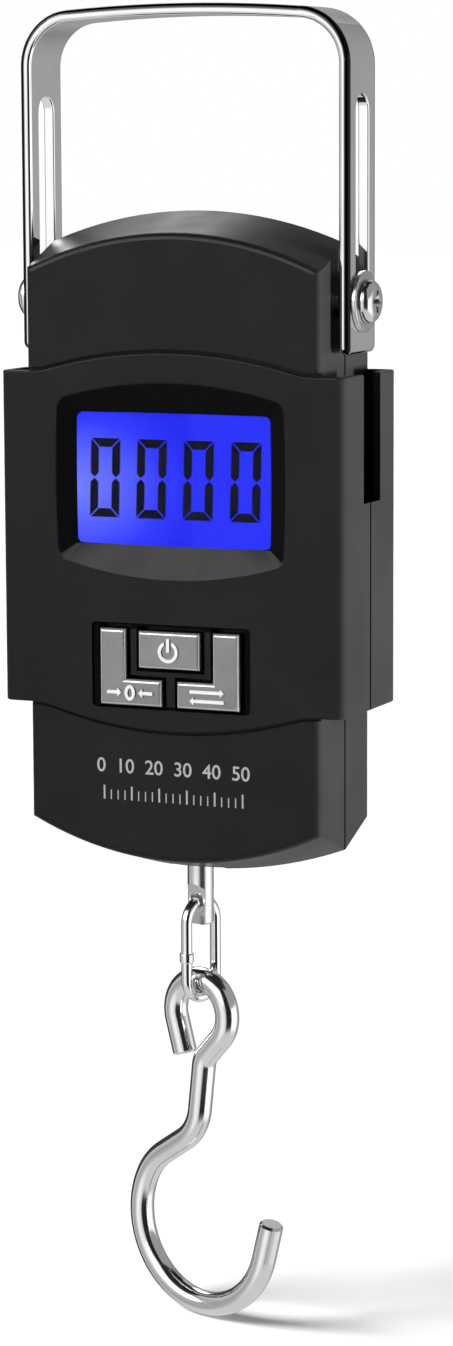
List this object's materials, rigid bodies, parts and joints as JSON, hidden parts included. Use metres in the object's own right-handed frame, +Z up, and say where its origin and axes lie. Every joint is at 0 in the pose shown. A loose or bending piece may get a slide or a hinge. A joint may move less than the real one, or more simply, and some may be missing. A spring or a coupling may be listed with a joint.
{
  "type": "digital fish scale",
  "caption": "Hand-held hanging fish scale: a steel U handle that slides and swings, a black case with a lit display and push keys, and a wire hook on a link and a swivelling stem.",
  "frame": {"origin": "middle of the underside of the handle's top bar, where a hand or a bar lifts the scale", "axes": "+X to the right seen from the display side, -Y out of the display, +Z up towards the handle"},
  "size_m": [0.0712, 0.0276, 0.2476],
  "materials": {
    "polished_steel": "polished",
    "turned_steel": "turned",
    "screw_steel": "plated",
    "case_front": "satin, fine grain",
    "case_back": "satin, fine grain",
    "case_door": "satin, fine grain",
    "black_screw": "blackened",
    "clear_window": "clear, gloss",
    "display_glass": "lit blue, with dark digits",
    "light_guide": "frosted",
    "lamp": "gloss",
    "contact_rubber": "matt",
    "circuit_board": "solder mask",
    "chip_resin": "gloss",
    "component": "matt",
    "key_silver": "satin silver",
    "plunger": "matt",
    "switch_case": "matt",
    "cell_aluminium": "machined",
    "gauge_foil": "matt",
    "wire_white": "gloss",
    "battery_jacket": "gloss",
    "contact_plate": "tinned",
    "contact_spring": "tinned",
    "wire_red": "gloss",
    "stem_steel": "turned, satin",
    "link_steel": "bright",
    "hook_steel": "bright, drawn wire"
  },
  "bodies": {
    "handle": {"handle": "polished_steel"},
    "pivot": {"slot_bush_left": "turned_steel", "slot_bush_right": "turned_steel"},
    "case": {"handle_screws": "screw_steel", "front_shell": "case_front", "back_shell": "case_back", "case_screws": "black_screw", "display_lens": "clear_window", "lcd_panel": "display_glass", "backlight": "light_guide", "backlight_lamps": "lamp", "contact_strip": "contact_rubber", "circuit_board": "circuit_board", "board_screws": "screw_steel", "board_chip": "chip_resin", "board_components": "component", "key_switches": "switch_case", "load_cell": "cell_aluminium", "strain_gauges": "gauge_foil", "cell_wires": "wire_white", "battery_left": "battery_jacket", "battery_right": "battery_jacket", "battery_contacts": "contact_plate", "battery_springs": "contact_spring", "battery_wires": "wire_red"},
    "door": {"battery_door": "case_door"},
    "power_key": {"key_power": "key_silver", "plunger_power": "plunger"},
    "tare_key": {"key_tare": "key_silver", "plunger_tare": "plunger"},
    "unit_key": {"key_unit": "key_silver", "plunger_unit": "plunger"},
    "stem": {"stem": "stem_steel", "stem_washer": "stem_steel", "stem_nut": "stem_steel"},
    "link": {"link": "link_steel"},
    "hook": {"hook": "hook_steel"}
  },
  "joints": [
    {"name": "handle_slide", "type": "slide", "parent": "handle", "child": "pivot", "axis": [0, 0, -1], "range_m": [-0.0337, 0]},
    {"name": "handle_swing", "type": "hinge", "parent": "pivot", "child": "case", "pos_m": [0, 0, -0.0515], "axis": [1, 0, 0], "range_deg": [0, 110]},
    {"name": "power_press", "type": "slide", "parent": "case", "child": "power_key", "axis": [0, 1, 0], "range_m": [0, 0.0006], "stiffness_N_per_m": 700, "springref_m": -0.0004},
    {"name": "tare_press", "type": "slide", "parent": "case", "child": "tare_key", "axis": [0, 1, 0], "range_m": [0, 0.0006], "stiffness_N_per_m": 700, "springref_m": -0.0004},
    {"name": "unit_press", "type": "slide", "parent": "case", "child": "unit_key", "axis": [0, 1, 0], "range_m": [0, 0.0006], "stiffness_N_per_m": 700, "springref_m": -0.0004},
    {"name": "battery_door_swing", "type": "hinge", "parent": "case", "child": "door", "pos_m": [0, 0.0119, -0.07305], "axis": [1, 0, 0], "range_deg": [0, 75]},
    {"name": "stem_swivel", "type": "hinge", "parent": "case", "child": "stem", "pos_m": [0, 0, -0.1], "axis": [0, 0, 1], "continuous": true},
    {"name": "link_swing", "type": "hinge", "parent": "stem", "child": "link", "pos_m": [0, 0, -0.16455], "axis": [0.309, 0.9511, 0], "range_deg": [-60, 60]},
    {"name": "hook_swing", "type": "hinge", "parent": "link", "child": "hook", "pos_m": [0, 0, -0.17974], "axis": [0.9511, -0.309, 0], "range_deg": [-50, 50]}
  ]
}
